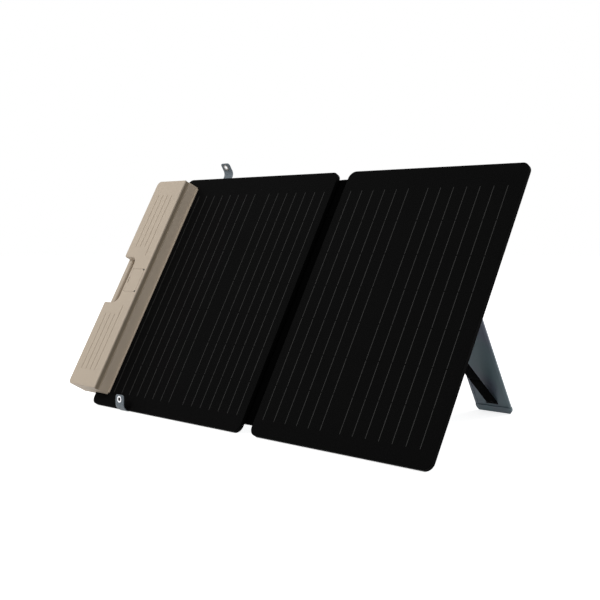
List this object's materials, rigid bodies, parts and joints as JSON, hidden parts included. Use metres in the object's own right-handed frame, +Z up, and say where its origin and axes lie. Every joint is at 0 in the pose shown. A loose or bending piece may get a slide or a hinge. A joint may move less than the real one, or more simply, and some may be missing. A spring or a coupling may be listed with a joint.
{
  "type": "solar suitcase kit",
  "caption": "Two-leaf folding solar panel standing open on kickstands, with a moulded side shell, carrying grip, covered sockets and eyelet tabs.",
  "frame": {"origin": "on the floor, under the middle of the standing kit's box", "axes": "+X along both leaves from the shell to the free edge, +Y away from the sunny side, +Z up"},
  "size_m": [0.9737, 0.5572, 0.5236],
  "materials": {
    "edge_moulding": "fine matt moulding",
    "backing_fabric": "blue-grey woven",
    "core_board": "plain board",
    "cell_laminate": "black laminate",
    "solar_cell": "dark silicon",
    "ribbon": "tinned ribbon",
    "cover_film": "fine-textured film over black cells",
    "hinge_fabric": "black woven",
    "lead": "flat insulated lead",
    "magnet": "plated",
    "junction": "moulded",
    "diode": "moulded",
    "shell": "fine matt beige",
    "grip": "soft matt beige",
    "gasket": "seal",
    "screw": "blackened",
    "port_bay": "fine matt",
    "pin": "plain",
    "circuit_board": "solder mask",
    "circuit_parts": "satin",
    "socket": "moulded",
    "usb_sleeve": "plated",
    "hinge_metal": "dark satin",
    "rivet": "plain",
    "stand_board": "blue-grey woven over board",
    "stand_rim": "light blue-grey edge",
    "stand_foot": "ribbed",
    "strap": "black webbing",
    "tab": "blue-grey webbing",
    "eyelet": "plated"
  },
  "bodies": {
    "left_leaf": {"left_leaf_rim": "edge_moulding", "left_back_fabric": "backing_fabric", "left_core_board": "core_board", "left_magnets": "magnet", "left_junction_box": "junction", "left_bypass_diodes": "diode", "left_cell_laminate": "cell_laminate", "left_solar_cells": "solar_cell", "left_cell_ribbons": "ribbon", "left_cover_film": "cover_film", "left_hinge_fabric": "hinge_fabric", "left_lead": "lead", "shell_front": "shell", "shell_back": "shell", "shell_gasket": "gasket", "grip_bar": "grip", "shell_screws": "screw", "clamp_screws": "screw", "port_bay": "port_bay", "cover_pin": "pin", "circuit_board": "circuit_board", "circuit_parts": "circuit_parts", "dc_socket": "socket", "usb_a_socket": "usb_sleeve", "usb_c_socket": "usb_sleeve", "left_hinge_plate": "hinge_metal", "left_hinge_pin": "pin", "left_strap": "strap", "left_strap_patch": "strap"},
    "right_leaf": {"right_leaf_rim": "edge_moulding", "right_back_fabric": "backing_fabric", "right_core_board": "core_board", "right_magnets": "magnet", "right_junction_box": "junction", "right_bypass_diodes": "diode", "right_cell_laminate": "cell_laminate", "right_solar_cells": "solar_cell", "right_cell_ribbons": "ribbon", "right_cover_film": "cover_film", "right_hinge_fabric": "hinge_fabric", "right_lead": "lead", "right_hinge_plate": "hinge_metal", "right_hinge_pin": "pin", "right_strap": "strap", "right_strap_patch": "strap"},
    "right_stand": {"right_hinge_arm": "hinge_metal", "right_stand_board": "stand_board", "right_stand_rim": "stand_rim", "right_stand_foot": "stand_foot", "right_stand_rivets": "rivet"},
    "left_stand": {"left_hinge_arm": "hinge_metal", "left_stand_board": "stand_board", "left_stand_rim": "stand_rim", "left_stand_foot": "stand_foot", "left_stand_rivets": "rivet"},
    "port_cover": {"port_cover": "shell"},
    "top_tab": {"top_tab": "tab", "top_eyelet": "eyelet"},
    "low_tab": {"low_tab": "tab", "low_eyelet": "eyelet"}
  },
  "joints": [
    {"name": "panel_fold", "type": "hinge", "parent": "left_leaf", "child": "right_leaf", "pos_m": [0.06144, -0.12437, 0.24782], "axis": [0, -0.4941, -0.8694], "range_deg": [0, 178]},
    {"name": "right_stand_fold", "type": "hinge", "parent": "right_leaf", "child": "right_stand", "pos_m": [0.24814, 0.01326, 0.46175], "axis": [-1, 0, 0], "range_deg": [0, 59], "deforming": ["right_strap"]},
    {"name": "left_stand_fold", "type": "hinge", "parent": "left_leaf", "child": "left_stand", "pos_m": [-0.12526, 0.01326, 0.46175], "axis": [-1, 0, 0], "range_deg": [0, 59], "deforming": ["left_strap"]},
    {"name": "port_cover_hinge", "type": "hinge", "parent": "left_leaf", "child": "port_cover", "pos_m": [-0.39636, -0.15045, 0.26436], "axis": [0, 0.4941, 0.8694], "range_deg": [0, 100]},
    {"name": "top_tab_flex", "type": "hinge", "parent": "left_leaf", "child": "top_tab", "pos_m": [-0.29586, 0.01908, 0.48961], "axis": [-1, 0, 0], "range_deg": [-20, 60], "stiffness_Nm_per_rad": 0.05},
    {"name": "low_tab_flex", "type": "hinge", "parent": "left_leaf", "child": "low_tab", "pos_m": [-0.30786, -0.2587, 0.00083], "axis": [1, 0, 0], "range_deg": [0, 89]}
  ],
  "couplings": [
    {"joint": "low_tab_flex", "follows": "panel_fold", "ratio": 0.5}
  ]
}
